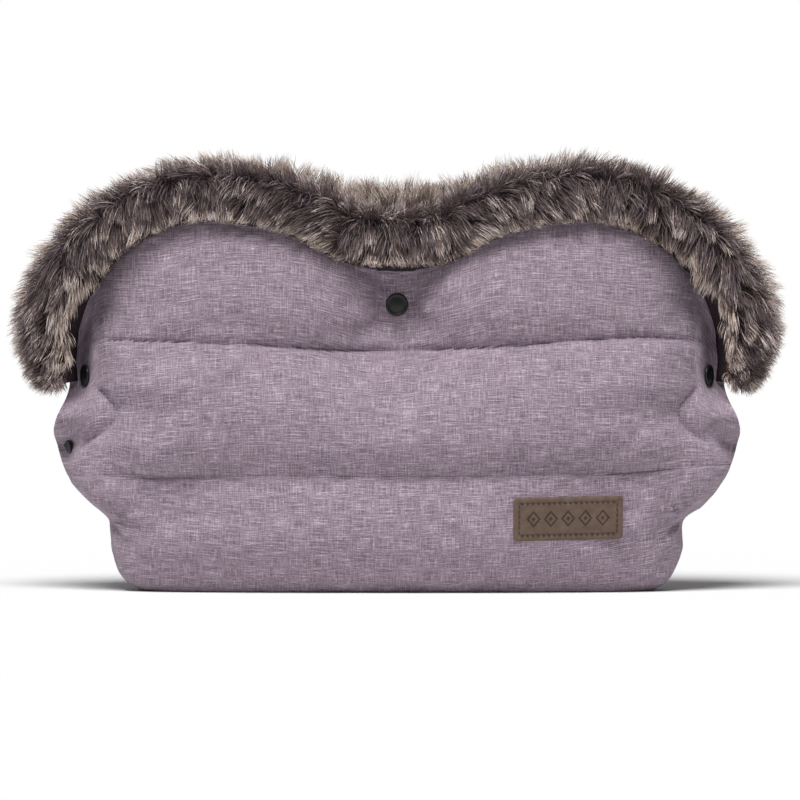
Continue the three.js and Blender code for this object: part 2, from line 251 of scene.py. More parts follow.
def layer(outer, inner, tub=False):
    """Points and faces of a closed layer between two grids of points [column, row, 3].

    A tub's columns run all the way round and its first row closes over as a floor.
    """
    cols, rows = outer.shape[:2]
    count = cols * rows
    index = np.arange(count).reshape(cols, rows)
    faces = []
    for a, b, quad in column_quads(index, tub):
        faces += quad.tolist() + (quad[:, ::-1] + count).tolist()
        faces.append([a[-1], b[-1], b[-1] + count, a[-1] + count])
        if not tub:
            faces.append([b[0], a[0], a[0] + count, b[0] + count])
    if tub:
        ring = index[:, 0]
        faces += [ring[::-1].tolist(), (ring + count).tolist()]
    else:
        for edge, step in ((index[0], 1), (index[-1], -1)):
            for p, q in zip(edge[:-1], edge[1:]):
                faces.append([p, q, q + count, p + count][::step])
    return np.concatenate([outer.reshape(-1, 3), inner.reshape(-1, 3)]), faces


def part_layer(outer, inner, keep):
    """A closed layer over the kept cells only.

    Also gives each point's place in the grid, and 1 for each face on the inner side.
    """
    cols, rows = outer.shape[:2]
    count = cols * rows
    index = np.arange(count).reshape(cols, rows)
    a, b, c, d = index[:-1, :-1], index[1:, :-1], index[1:, 1:], index[:-1, 1:]
    quads = np.stack([a, b, c, d], 2)[keep]
    faces = [quads, quads[:, ::-1] + count]
    ringed = np.pad(keep, 1)
    for start, stop, shift in ((a, b, (0, -1)), (b, c, (1, 0)), (c, d, (0, 1)), (d, a, (-1, 0))):
        beyond = np.roll(ringed, (-shift[0], -shift[1]), (0, 1))[1:-1, 1:-1]
        edge = keep & ~beyond
        p, q = start[edge], stop[edge]
        faces.append(np.stack([q, p, p + count, q + count], 1))
    faces = np.concatenate(faces)
    used = np.unique(faces)
    slots = np.concatenate([np.zeros(len(quads), int), np.ones(len(quads), int),
                            np.zeros(len(faces) - 2 * len(quads), int)])
    points = np.concatenate([outer.reshape(-1, 3), inner.reshape(-1, 3)])[used]
    return points, np.searchsorted(used, faces).tolist(), used % count, slots


def tube(rings):
    """Points and faces of a closed tube through rings of points [station, corner, 3]."""
    count, corners = rings.shape[:2]
    index = np.arange(count * corners).reshape(count, corners)
    faces = [index[0].tolist(), index[-1][::-1].tolist()]
    for a, b in zip(index[:-1], index[1:]):
        faces += np.stack([a, np.roll(a, -1), np.roll(b, -1), b], 1).tolist()
    return rings.reshape(-1, 3), faces


def outwards(obj, creased=False):
    """Turns a closed mesh's faces out, and keeps its corners sharp if it is creased."""
    bm = bmesh.new()
    bm.from_mesh(obj.data)
    bmesh.ops.recalc_face_normals(bm, faces=bm.faces)
    bm.to_mesh(obj.data)
    bm.free()
    if creased:
        obj.data.set_sharp_from_angle(angle=math.radians(50))
    return obj


def swell(points, pinned, wrap=False, pressure=2.6, cap=4.5):
    """Cloth simulation of one face of a pad: seams stay sewn down and the rest swells."""
    growth, frames = 0.012, 16
    cols, rows = points.shape[:2]
    index = np.arange(cols * rows).reshape(cols, rows)
    quads = np.concatenate([quad for _, _, quad in column_quads(index, wrap)])
    flat = points.reshape(-1, 3)
    obj = make("swelling", flat, quads, [])
    pins = obj.vertex_groups.new(name="sewn")
    held = np.round(pinned.reshape(-1), 1)
    for weight in np.unique(held):
        if weight > 0:
            pins.add(np.nonzero(held == weight)[0].tolist(), float(weight), "REPLACE")
    cloth = obj.modifiers.new("Cloth", "CLOTH")
    settings = dict(quality=4, mass=0.25, tension_stiffness=12, compression_stiffness=6,
                    shear_stiffness=3, bending_stiffness=0.2, vertex_group_mass="sewn",
                    shrink_min=-growth, shrink_max=-growth, use_pressure=True,
                    uniform_pressure_force=pressure)
    for key, value in settings.items():
        setattr(cloth.settings, key, value)
    cloth.settings.effector_weights.gravity = 0
    cloth.collision_settings.use_collision = False
    scene = bpy.context.scene
    cloth.point_cache.frame_start, cloth.point_cache.frame_end = 1, frames
    for number in range(1, frames + 1):
        scene.frame_set(number)
    moved = obj.evaluated_get(bpy.context.evaluated_depsgraph_get()).to_mesh()
    result = np.empty(len(moved.vertices) * 3)
    moved.vertices.foreach_get("co", result)
    result = result.reshape(-1, 3) / MM
    bpy.data.objects.remove(obj)
    scene.frame_set(1)
    shift = result - flat
    length = np.linalg.norm(shift, axis=1, keepdims=True)
    shift *= np.minimum(1, cap / np.maximum(length, 1e-6))
    return (flat + shift).reshape(points.shape)


# ---- materials ----
class Nodes:
    """A short way to write a Principled material's nodes."""

    def __init__(self, name, **sockets):
        self.material = bpy.data.materials.new(name)
        self.material.use_nodes = True
        self.tree = self.material.node_tree
        self.shader = self.tree.nodes["Principled BSDF"]
        for key, value in sockets.items():
            self.shader.inputs[key.replace("_", " ")].default_value = value

    def feed(self, socket, value):
        if isinstance(value, bpy.types.NodeSocket):
            self.tree.links.new(value, socket)
        else:
            socket.default_value = value

    def node(self, kind, inputs=None, **settings):
        node = self.tree.nodes.new("ShaderNode" + kind)
        for key, value in settings.items():
            setattr(node, key, value)
        for key, value in (inputs or {}).items():
            self.feed(node.inputs[key], value)
        return node

    def uv(self, scale, shift=(0, 0, 0)):
        source = self.node("UVMap", uv_map="cloth").outputs["UV"]
        return self.mapped(source, scale, shift)

    def place(self, scale=(1, 1, 1), shift=(0, 0, 0)):
        return self.mapped(self.node("TexCoord").outputs["Object"], scale, shift)

    def mapped(self, source, scale, shift):
        node = self.node("Mapping", {"Vector": source, "Scale": scale, "Location": shift})
        return node.outputs["Vector"]

    def noise(self, vector, scale=1.0, detail=2.0, roughness=0.5):
        return self.node("TexNoise", {"Vector": vector, "Scale": scale, "Detail": detail,
                                      "Roughness": roughness}).outputs["Fac"]

    def ramp(self, fac, stops):
        node = self.node("ValToRGB", {"Fac": fac})
        ramp = node.color_ramp
        while len(ramp.elements) < len(stops):
            ramp.elements.new(0.5)
        for element, (position, colour) in zip(ramp.elements, stops):
            element.position = position
            grey = isinstance(colour, (int, float))
            element.color = (colour, colour, colour, 1) if grey else (*colour, 1)
        return node.outputs["Color"]

    def mix(self, fac, a, b, blend="MIX"):
        node = self.node("Mix", data_type="RGBA", blend_type=blend)
        for place, value in ((0, fac), (6, a), (7, b)):
            self.feed(node.inputs[place], value)
        return node.outputs[2]

    def math(self, operation, a, b):
        node = self.node("Math", operation=operation)
        self.feed(node.inputs[0], a)
        self.feed(node.inputs[1], b)
        return node.outputs[0]

    def out(self, colour, roughness, height, distance, strength=1.0):
        bump = self.node("Bump", {"Height": height, "Distance": distance, "Strength": strength})
        self.feed(self.shader.inputs["Base Color"], colour)
        self.feed(self.shader.inputs["Roughness"], roughness)
        self.feed(self.shader.inputs["Normal"], bump.outputs["Normal"])
        return self.material


def melange():
    """Linen weave: dark and light slub threads both ways over a fine plain weave."""
    n = Nodes("melange_linen", Roughness=0.85, Sheen_Weight=0.25, Sheen_Roughness=0.5,
              Specular_IOR_Level=0.25)
    n.shader.inputs["Sheen Tint"].default_value = (0.9, 0.82, 0.9, 1)
    weft = n.noise(n.uv((70, 1500, 1)), 1.0, 3.0, 0.65)
    warp = n.noise(n.uv((1500, 80, 1), (3, 7, 0)), 1.0, 3.0, 0.65)
    fine = n.noise(n.uv((420, 2600, 1), (5, 1, 0)), 1.0, 2.0, 0.7)
    cloud = n.noise(n.uv((30, 75, 1), (1, 2, 0)), 1.0, 3.0, 0.6)
    weft_tone = n.ramp(weft, [(0.36, (0.110, 0.076, 0.104)), (0.46, (0.252, 0.190, 0.236)),
                              (0.55, (0.335, 0.262, 0.318)), (0.66, (0.66, 0.56, 0.64))])
    warp_tone = n.ramp(warp, [(0.36, (0.130, 0.092, 0.122)), (0.46, (0.258, 0.196, 0.242)),
                              (0.55, (0.340, 0.267, 0.323)), (0.68, (0.66, 0.56, 0.64))])
    both = n.mix(0.42, weft_tone, warp_tone)
    both = n.mix(0.75, both, n.ramp(fine, [(0.34, 0.26), (0.66, 0.72)]), "OVERLAY")
    colour = n.mix(0.35, both, n.ramp(cloud, [(0.3, 0.38), (0.7, 0.60)]), "OVERLAY")
    over = n.node("TexWave", {"Vector": n.uv((1, 1, 1)), "Scale": 330.0}, bands_direction="X")
    under = n.node("TexWave", {"Vector": n.uv((1, 1, 1)), "Scale": 330.0}, bands_direction="Y")
    weave = n.math("MULTIPLY", over.outputs["Fac"], under.outputs["Fac"])
    height = n.math("ADD", n.math("MULTIPLY", weave, 0.35), n.math("ADD", weft, warp))
    rough = n.ramp(weft, [(0.3, 0.92), (0.7, 0.76)])
    return n.out(colour, rough, height, 0.00035, 0.9)


def fleece():
    n = Nodes("brushed_fleece", Sheen_Weight=0.5, Sheen_Roughness=0.6, Specular_IOR_Level=0.2)
    pile = n.noise(n.place((1, 1, 1)), 900.0, 3.0, 0.7)
    tuft = n.noise(n.place((1, 1, 1), (0.4, 0, 0)), 120.0, 3.0, 0.6)
    colour = n.ramp(tuft, [(0.3, (0.17, 0.14, 0.165)), (0.7, (0.28, 0.235, 0.27))])
    return n.out(colour, n.ramp(pile, [(0.3, 0.98), (0.7, 0.86)]), n.math("ADD", pile, tuft), 0.0012)


def grained(name, noise, dark, light, rough, height, stretch=1, **sockets):
    """A material of one fine noise, which sets its colour, roughness and height."""
    n = Nodes(name, **sockets)
    grain = n.noise(n.place((1, 1, stretch)), *noise)
    colour = n.ramp(grain, [(0.3, dark), (0.7, light)])
    return n.out(colour, n.ramp(grain, [(0.3, rough[0]), (0.7, rough[1])]), grain, height)


def leather(name, dim=1.0):
    """Brown leather, darker by dim; the copy with dim below 1 is painted shade for the pressed
    motif's grooves.
    """
    n = Nodes(name, Specular_IOR_Level=0.35)
    grain = n.node("TexVoronoi", {"Vector": n.place(), "Scale": 1300.0}).outputs["Distance"]
    patch = n.noise(n.place((1, 1, 1)), 160.0, 4.0, 0.6)
    tones = ((0.25, (0.092, 0.057, 0.040)), (0.55, (0.124, 0.080, 0.057)),
             (0.8, (0.162, 0.110, 0.081)))
    colour = n.ramp(patch, [(at, tuple(dim * c for c in tone)) for at, tone in tones])
    rough = n.ramp(patch, [(0.3, 0.68), (0.7, 0.5)])
    height = n.math("ADD", n.math("MULTIPLY", grain, 0.6), patch)
    return n.out(colour, rough, height, 0.00025)


def lacquer():
    n = Nodes("black_lacquer", Metallic=0.0, Specular_IOR_Level=0.35, Coat_Weight=0.15,
              Coat_Roughness=0.2)
    speck = n.noise(n.place((1, 1, 1)), 700.0, 3.0, 0.6)
    colour = n.ramp(speck, [(0.35, (0.007, 0.007, 0.008)), (0.7, (0.016, 0.016, 0.018))])
    return n.out(colour, n.ramp(speck, [(0.3, 0.42), (0.75, 0.34)]), speck, 0.00003)


def thread(name, dark, light):
    n = Nodes(name, Sheen_Weight=0.2)
    twist = n.node("TexWave", {"Vector": n.place(), "Scale": 900.0, "Distortion": 2.0},
                   bands_direction="DIAGONAL").outputs["Fac"]
    return n.out(n.ramp(twist, [(0.2, dark), (0.8, light)]), n.ramp(twist, [(0, 0.85), (1, 0.7)]),
                 twist, 0.0001)


def hair(name, colour):
    """One shade of hair. Its colour is the same all over, so it stays on the socket."""
    n = Nodes(name, Roughness=0.5, Specular_IOR_Level=0.35)
    n.shader.inputs["Base Color"].default_value = (*colour, 1)
    return n.material


LINEN, FLEECE, LACQUER = melange(), fleece(), lacquer()
WADDING = grained("polyester_wadding", (260.0, 5.0, 0.75), (0.70, 0.69, 0.66), (0.88, 0.87, 0.84),
                  (1.0, 0.9), 0.002, Specular_IOR_Level=0.2)
NICKEL = grained("nickel", (300.0, 3.0, 0.6), (0.30, 0.30, 0.31), (0.48, 0.48, 0.49),
                 (0.4, 0.28), 0.00002, stretch=14, Metallic=1.0)
HIDE = grained("fur_backing", (500.0, 3.0, 0.7), (0.030, 0.022, 0.026), (0.060, 0.045, 0.050),
               (1.0, 0.9), 0.001, Specular_IOR_Level=0.1)
# the second leather is a darker copy: painted shade for the label's pressed motif
LEATHER, GROOVE_SHADE_LEATHER = leather("leather"), leather("leather_groove_shade", 0.42)
DARK_THREAD = thread("label_thread_dark", (0.016, 0.010, 0.007), (0.05, 0.032, 0.022))
HAIR = [hair(f"hair_{name}", colour) for name, colour in (
    ("root", (0.042, 0.028, 0.032)), ("root_warm", (0.062, 0.041, 0.039)),
    ("low", (0.118, 0.086, 0.096)), ("low_warm", (0.148, 0.104, 0.092)),
    ("mid", (0.262, 0.200, 0.206)), ("mid_warm", (0.325, 0.242, 0.206)),
    ("tip", (0.650, 0.560, 0.545)), ("tip_warm", (0.690, 0.575, 0.495)))]

# ---- pads ----
def flap_grid(count, rows):
    """x and z of a flap's points, each row's share of the height, and the side tabs' cells.

    One column bends to the tabs' inner edge, and one row to their top.
    """
    half = np.linspace(0, 1, count)
    share = np.concatenate([-half[:0:-1], half])
    share = np.sign(share) * (0.72 * np.abs(share) + 0.28 * (1 - (1 - np.abs(share)) ** 2))
    v = np.linspace(0, 1, rows)
    v = 0.5 * v + 0.5 * (0.5 - 0.5 * np.cos(np.pi * v))
    x = share[:, None] * FLAP_HALF
    top = flap_top(x)
    low = seam_low(x)
    row = int(np.argmin(np.abs(v - 0.2)))
    column = int(np.argmin(np.abs(share - TAB_EDGE / FLAP_HALF)))
    inner_share = share[column]
    side = smooth(np.abs(share), 0.66, inner_share - 0.005)[:, None]
    rise = np.where(v < v[row], v / v[row], (1 - v) / (1 - v[row]))[None, :]
    reach = np.where(np.abs(share) < inner_share, np.abs(share) / inner_share,
                     (1 - np.abs(share)) / (1 - inner_share))[:, None]
    # x and z depend on each other, so both settle together
    for _ in range(8):
        z = low + v[None, :] * (top - low)
        z = z + side * rise * (TAB_TOP - z[:, row:row + 1])
        x = share[:, None] * flap_side(z)
        bend = (TAB_EDGE - inner_share * flap_side(z)) * (1 - smooth(z, TAB_TOP, 150))
        x = x + np.sign(x) * reach * bend
        low = seam_low(x)
    cells = np.minimum(np.abs(share[:-1]), np.abs(share[1:])) > inner_share - 1e-6
    corner = cells[:, None] & (np.arange(rows - 1) < row)[None, :]
    return x, z, v, corner


def flap_faces(face, x, z):
    """Depth of a flap's outer and inner faces."""
    def base(u):
        return meeting(u, z) + face * half_gap(u, z)
    slope = np.minimum(np.abs(base(x + 1.5) - base(x - 1.5)) / 3, 2.6)
    stretch = np.sqrt(1 + slope * slope)
    inner = base(x)
    outer = inner + face * thickness(x, z) * stretch
    # down at the seam both faces run into the pouch's
    level = np.clip(z, SEAM_LOW, RIM_TOP)
    into = smooth(z - seam_low(x), 0, 26)
    rim_out = face * np.maximum(pouch_y(x, level), 5.8)
    rim_in = face * np.maximum(pouch_y(x, level, 7.0), GAP)
    return rim_out * (1 - into) + outer * into, rim_in * (1 - into) + inner * into


def cloth_length(points, axis):
    """Distance along the cloth, which keeps the weave's scale where the pad bulges."""
    step = np.linalg.norm(np.diff(points, axis=axis), axis=2)
    total = np.cumsum(step, axis=axis)
    zero = np.zeros_like(np.take(total, [0], axis=axis))
    return np.concatenate([zero, total], axis=axis)


def even_out(field, reach):
    """A field softened from column to column."""
    kernel = np.hanning(2 * reach + 3)[1:-1]
    padded = np.pad(field, ((reach, reach), (0, 0)), mode="edge")
    return sum(w * padded[k:k + len(field)] for k, w in enumerate(kernel / kernel.sum()))


def between(inner, outer, share):
    """Points at a share of a pad's thickness."""
    return inner + (outer - inner) * share


def flap_uv(outer):
    """Cloth coordinates of a flap: along the fold at the side snaps, and up the cloth."""
    x, z = outer[..., 0], outer[..., 2]
    fold = np.clip(np.abs(x) - snap_line(z) + STEP_HALF, 0, 2 * STEP_HALF) * smooth(z, *FOLD_FOOT)
    up = even_out(cloth_length(outer, 1), 10) + z[:, :1]
    return np.stack([x + np.sign(x) * 1.7 * fold, up], 2).reshape(-1, 2)


def flap_pins(x, z, v):
    """How firmly each point is sewn down: edges, upper seam, side folds and snaps."""
    ends = ((v < 0.012) | (v > 0.985))[None, :] * np.ones_like(x)
    spots = [(np.hypot(np.abs(x) - spot[0], z - spot[1]) < SNAP_HOLD) * 1.0
             for spot in (*SNAP_SIDE, SNAP_CENTRE)]
    return np.maximum.reduce([ends, (np.abs(z - seam_high(x)) < 1.3) * 1.0,
                              (np.abs(x) > snap_line(z) + 1) * 1.0, *spots])


def build_flap(name, face):
    x, z, v, corner = flap_grid(95, 96)
    outer_y, inner_y = flap_faces(face, x, z)
    outer, inner = np.stack([x, outer_y, z], 2), np.stack([x, inner_y, z], 2)
    uv = flap_uv(outer)
    outer = swell(outer, flap_pins(x, z, v))
    edge = smooth(v, 0, 0.05)[None, :] * (1 - smooth(v, 0.95, 1))[None, :]
    calm = 1 - smooth(np.abs(x), snap_line(z) - 12, snap_line(z) - 3)
    outer[..., 1] += face * (relief(x, z, face) * edge * (0.25 + 0.75 * calm))
    # the shell closes over the wadding at the edges, where shell and lining are sewn together
    rim = np.minimum(np.minimum(v, 1 - v) * FLAP_RISE, (1 - np.abs(x) / flap_side(z)) * FLAP_HALF)
    closed = smooth(rim, 1.0, 7.0)[..., None]
    points, faces, used, _ = part_layer(
        outer, between(inner, outer, SHELL_FOOT + SHELL_LIFT * closed), ~corner)
    shell = outwards(make(f"{name}_cover", points, faces, [LINEN], uv[used]), True)
    points, faces, _, _ = part_layer(between(inner, outer, LINING_SHARE), inner, ~corner)
    lining = outwards(make(f"{name}_fleece", points, faces, [FLEECE]), True)
    # the wadding stays clear of the edges and the tabs
    near_tab = np.zeros_like(corner)
    for shift in range(-3, 4):
        near_tab |= np.roll(corner, shift, 0) | np.roll(corner, shift, 1)
    inside = np.zeros_like(corner)
    inside[9:-9, 11:-11] = True
    points, faces, _, _ = part_layer(between(inner, outer, 0.58), between(inner, outer, 0.36),
                                     inside & ~near_tab)
    filling = outwards(make(f"{name}_filling", points, faces, [WADDING]), True)
    for end, cells in (("left", x[:-1, :-1] < 0), ("right", x[:-1, :-1] >= 0)):
        points, faces, used, slots = part_layer(outer, inner, corner & cells)
        tab = outwards(make(f"side_tab_{name}_{end}", points, faces, [LINEN, FLEECE], uv[used],
                            face_slots=slots), True)
        settle(tab, "pouch", f"tab_{name}_{end}")
    for obj, node, slot in ((shell, "shell", "fabric"), (lining, "lining", "lining"),
                            (filling, "wadding", "wadding")):
        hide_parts(f"{name}_{node}")
        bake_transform(obj)


def even_ring(around):
    """The pouch's rounded outline at unit size, with points evenly spaced on the real one."""
    u = np.arange(around) / around * 2 * np.pi
    c, s = np.cos(u), np.sin(u)
    power = 2 / POUCH_POWER
    unit = np.stack([np.sign(c) * np.abs(c) ** power, np.sign(s) * np.abs(s) ** power], 1)
    ring = unit * POUCH_RING
    step = np.linalg.norm(np.roll(ring, -1, 0) - ring, axis=1)
    length = np.concatenate([[0], np.cumsum(step)])
    even = np.linspace(0, length[-1], around, endpoint=False)
    closed = np.concatenate([unit, unit[:1]])
    return np.stack([np.interp(even, length, closed[:, k]) for k in (0, 1)], 1)


FLOOR_RINGS = (0.04, 0.3, 0.6, 0.8, 0.9, 0.95)
WALL_RINGS = np.round(np.linspace(0, 1, 42) ** 1.15, 5)


def pouch_grid(unit, low, inset, lift):
    """Points of one face of the pouch's pad: the base's rings, then the wall's."""
    size = np.array([pouch_side(0) - inset, pouch_depth(0) - inset])
    grid = [np.column_stack([unit * size * share, np.full(len(unit), lift)])
            for share in FLOOR_RINGS]
    for share in WALL_RINGS:
        z = share * low
        puff = np.sin(np.pi * np.clip(z / low, 0.25, 1)) ** 0.7
        off = inset * (1 + puff) / 2
        grid.append(np.stack([unit[:, 0] * (pouch_side(np.minimum(z, 90)) - off),
                              unit[:, 1] * (pouch_depth(z * SEAM_LOW / low) - off),
                              z + lift * (1 - z / low)], 1))
    return np.stack(grid, 1)


def pouch_uv(outer):
    """Cloth coordinates of the pouch: round it, split at the middle of the back, and up."""
    around = len(outer)
    steps = np.linalg.norm(np.roll(outer, -1, 0) - outer, axis=2)
    along = np.cumsum(steps, 0) - steps
    along -= along[around * 3 // 4]
    along[:around // 4 + 1] += steps.sum(0)
    up = cloth_length(outer, 1)
    return np.stack([along, up - up[:, -1:] + SEAM_LOW], 2).reshape(-1, 2)


def build_pouch():
    unit = even_ring(300)
    low = seam_low(unit[:, 0] * SEAM_SIDE)
    outer, inner = pouch_grid(unit, low, 0, 0), pouch_grid(unit, low, 14, 8)
    uv = pouch_uv(outer)
    x, y, z = np.moveaxis(outer, 2, 0)
    row = np.arange(outer.shape[1])
    pins = ((row < len(FLOOR_RINGS) + 2) | (row > outer.shape[1] - 2)) * np.ones_like(x)
    outer = swell(outer, pins, wrap=True, pressure=1.6, cap=3.0)
    # creases go outwards from the oval outline, and stay off the base, the seam and the label
    way = outer * [1, 1, 0]
    way[..., :2] /= POUCH_RING ** 2
    way /= np.maximum(np.linalg.norm(way, axis=2, keepdims=True), 1e-9)
    fade = smooth(z, 3, 16) * smooth(low[:, None] - z, 0, 5)
    creases = np.where(y < 0, relief(x, z, -1), relief(x, z, 1))
    label = smooth(np.hypot((x - LABEL["x"]) / 46, (z - LABEL["z"]) / 22), 0.75, 1.15)
    outer = outer + way * (creases * fade * np.where(y < 0, label, 1))[..., None]
    closed = smooth(low[:, None] - z, 0.5, 5)[..., None]
    points, faces = layer(outer, between(inner, outer, SHELL_FOOT + SHELL_LIFT * closed), tub=True)
    shell = outwards(make("pouch_cover", points, faces, [LINEN], np.concatenate([uv, uv])))
    points, faces = layer(between(inner, outer, LINING_SHARE), inner, tub=True)
    lining = outwards(make("pouch_fleece", points, faces, [FLEECE]))
    some = (slice(None, None, 2), slice(None, -3))
    points, faces = layer(between(inner, outer, 0.6)[some], between(inner, outer, 0.34)[some],
                          tub=True)
    filling = outwards(make("pouch_filling", points, faces, [WADDING]))
    settle(shell, "pouch", "pouch_shell")
    settle(lining, "pouch", "pouch_lining")
    settle(filling, "pouch", "pouch_wadding")


# ---- snaps ----
def turned(name, profile, place, material, body, node, around=40):
    """A turned piece; its profile is (radius, height) from axis to axis, in millimetres."""
    angles = np.arange(around) / around * 2 * np.pi
    faces = []
    rings = profile[1:-1]
    points = [(r * math.cos(a), h, r * math.sin(a)) for r, h in rings for a in angles]
    for i in range(len(rings) - 1):
        for j in range(around):
            k = (j + 1) % around
            faces.append((i * around + j, i * around + k, (i + 1) * around + k, (i + 1) * around + j))
    points += [(0, profile[0][1], 0), (0, profile[-1][1], 0)]
    a, b = len(points) - 2, len(points) - 1
    end = (len(rings) - 1) * around
    for j in range(around):
        k = (j + 1) % around
        faces += [(k, j, a), (end + j, end + k, b)]
    x, z, lean = place
    axis = np.array([math.sin(lean), -math.cos(lean), 0])
    side = np.cross([0, 0, 1], axis)
    third = np.cross(side, axis)
    points = np.array(points) @ np.stack([side, axis, third]) + [x, 0, z]
    settle(outwards(make(name, points, faces, [material])), body, node)


def arc(radius, centre_r, centre_h, start, end, steps=5):
    return [(centre_r + radius * math.cos(t), centre_h + radius * math.sin(t))
            for t in np.linspace(start, end, steps)]


CAP = ([(0, 2.5), (1.5, 2.5), (1.5, 5.6), (6.7, 5.6)] + arc(0.9, 6.6, 6.5, -1.4, 1.4, 8)
       + [(6.25, 7.45), (5.9, 7.05), (5.5, 6.95), (4, 7.2), (2, 7.4), (0.6, 7.45), (0, 7.45)])
SOCKET = [(0, 1.5), (2.7, 1.5), (2.9, 0.3), (3.3, 0.15), (5.6, 0.15), (6.1, 0.45), (6.2, 0.9),
          (6.2, 1.7), (5.9, 2.0), (3.4, 2.05), (3.0, 2.2), (0, 2.2)]
STUD = [(0, -1.35), (5.6, -1.35), (6, -1.1), (6, -0.4), (5.7, -0.15), (2.9, -0.15), (2.3, 0.1),
        (1.9, 0.6), (1.2, 0.9), (0.5, 1.0), (0, 1.0)]
POST = [(0, -7.3), (0.6, -7.3), (3, -7.25), (6.2, -7.1), (6.8, -6.8), (7, -6.3), (6.8, -5.7),
        (1.5, -5.6), (1.5, -1.65), (0, -1.65)]


def build_snaps():
    spots = {"centre": (*SNAP_CENTRE, 0.0)}
    for level, (x, z) in zip(("upper", "lower"), SNAP_SIDE):
        spots[f"{level}_left"] = (-x, z, -SNAP_TILT)
        spots[f"{level}_right"] = (x, z, SNAP_TILT)
    for spot, place in spots.items():
        for part, profile, material, body, slot in (
                ("cap", CAP, LACQUER, "front_flap", "snap_lacquer"),
                ("socket", SOCKET, NICKEL, "front_flap", "snap_metal"),
                ("stud", STUD, NICKEL, "back_flap", "snap_metal"),
                ("post", POST, LACQUER, "back_flap", "snap_lacquer")):
            body = "pouch" if spot.startswith("lower") else body
            turned(f"{part}_{spot}", profile, place, material, body, f"snap_{part}_{spot}")


# ---- label ----
def label_frame():
    """The label's own directions (right, up, out) and its middle, on the pouch's front."""
    x, z = LABEL["x"], LABEL["z"]
    def spot(u, w):
        return np.array([u, -float(pouch_y(np.array(u), np.array(w))), w])
    right = spot(x + 6, z) - spot(x - 6, z)
    up = spot(x, z + 8) - spot(x, z - 8)
    right, up = right / np.linalg.norm(right), up / np.linalg.norm(up)
    out = np.cross(right, up)
    out /= np.linalg.norm(out)
    up = np.cross(out, right)
    cosine, sine = math.cos(LABEL["turn"]), math.sin(LABEL["turn"])
    return right * cosine + up * sine, up * cosine - right * sine, out, spot(x, z) + out * 0.7


def motif(u, v):
    """Depth of the pressed pattern: a plain row of five nested diamonds."""
    cell = 11.4
    span = np.abs(u) < cell * 2.5
    local = (u + cell * 0.5) % cell - cell * 0.5
    shape = np.abs(local) / 4.7 + np.abs(v) / 5.6
    ring = np.clip(1.6 - np.abs(shape - 0.85) / 0.14, 0, 1)
    core = np.clip((0.32 - shape) / 0.12, 0, 1)
    return np.minimum(ring + core, 1) * span


def build_label():
    right, up, out, origin = label_frame()
    w, h, radius = LABEL["width"] / 2, LABEL["height"] / 2, 2.5
    u, v = np.meshgrid(np.linspace(-w, w, 241), np.linspace(-h, h, 96), indexing="ij")
    # pull the square grid's corners in to round ones
    cu, cv = np.maximum(np.abs(u) - (w - radius), 0), np.maximum(np.abs(v) - (h - radius), 0)
    far = np.maximum(np.hypot(cu, cv), 1e-9)
    pull = np.where((cu > 0) & (cv > 0), np.maximum(cu, cv) / far, 1)
    u = np.sign(u) * (np.minimum(np.abs(u), w - radius) + cu * pull)
    v = np.sign(v) * (np.minimum(np.abs(v), h - radius) + cv * pull)
    edge = np.minimum(w - np.abs(u), h - np.abs(v))
    top = LABEL["thick"] - 0.5 * (1 - smooth(edge, 0, 1.3))
    top -= 0.42 * motif(u, v)
    top -= 0.35 * np.exp(-((edge - LABEL_SEAM) / 0.65) ** 2)
    rear = origin + u[..., None] * right + v[..., None] * up
    points, faces = layer(rear + top[..., None] * out, rear)
    # the leather with painted shade in the motif's grooves is on the front's faces, which come first
    # in each column
    middle_u, middle_v = ((g[:-1, :-1] + g[1:, 1:]) / 2 for g in (u, v))
    sunk = (motif(middle_u, middle_v) > 0.5).astype(int)
    slots = np.pad(sunk, ((0, 0), (0, sunk.shape[1] + 2))).ravel()
    slots = np.pad(slots, (0, len(faces) - len(slots)))
    patch = outwards(make("leather_patch", points, faces, [LEATHER, GROOVE_SHADE_LEATHER], face_slots=slots))
    settle(patch, "pouch", "label_patch")
    stitches = []
    a, b = w - LABEL_SEAM, h - LABEL_SEAM
    pitch, long = 3.55, 2.5
    for side in (-1, 1):
        stitches += [((t, side * b), (1, 0)) for t in np.arange(-a + 1.9, a - 1, pitch)]
        stitches += [((side * a, t), (0, 1)) for t in np.arange(-b + 1.8, b - 1, pitch)]
    pieces = [stitch(origin + c[0] * right + c[1] * up + out * (LABEL["thick"] - 0.15),
                     d[0] * right + d[1] * up, out, long, 0.42) for c, d in stitches]
    threads = join("label_stitches", pieces, DARK_THREAD)
    settle(threads, "pouch", "label_thread")


def stitch(centre, along, out, length, radius):
    """Points and faces of one stitch: a short thread that dives at both ends."""
    angles = np.arange(7)[:, None] / 7 * 2 * np.pi
    spokes = np.cos(angles) * np.cross(along, out) + np.sin(angles) * out
    return tube(np.array([
        centre + along * (t * length / 2) + out * (0.22 - 0.5 * t * t)
        + radius * (0.35 + 0.65 * math.sqrt(max(0, 1 - t ** 4))) * spokes
        for t in np.linspace(-1, 1, 7)]))


def join(name, pieces, material):
    """One mesh of several pieces' points and faces."""
    points, faces, base = [], [], 0
    for piece_points, piece_faces in pieces:
        points.append(piece_points)
        faces += [[i + base for i in face] for face in piece_faces]
        base += len(piece_points)
    return outwards(make(name, np.concatenate(points), faces, [material]))


# ---- fur ----
# half of the line that the trim follows, from its lower end to the middle
RIM = [(214.5, 137), (216.5, 150), (214, 172), (206, 194), (194, 211), (180, 223), (163, 233),
       (147, 240), (128, 244), (108, 242.5), (88, 239.5), (70, 234.5), (55, 227), (42, 219.5),
       (26, 214.5), (0, 213.5)]


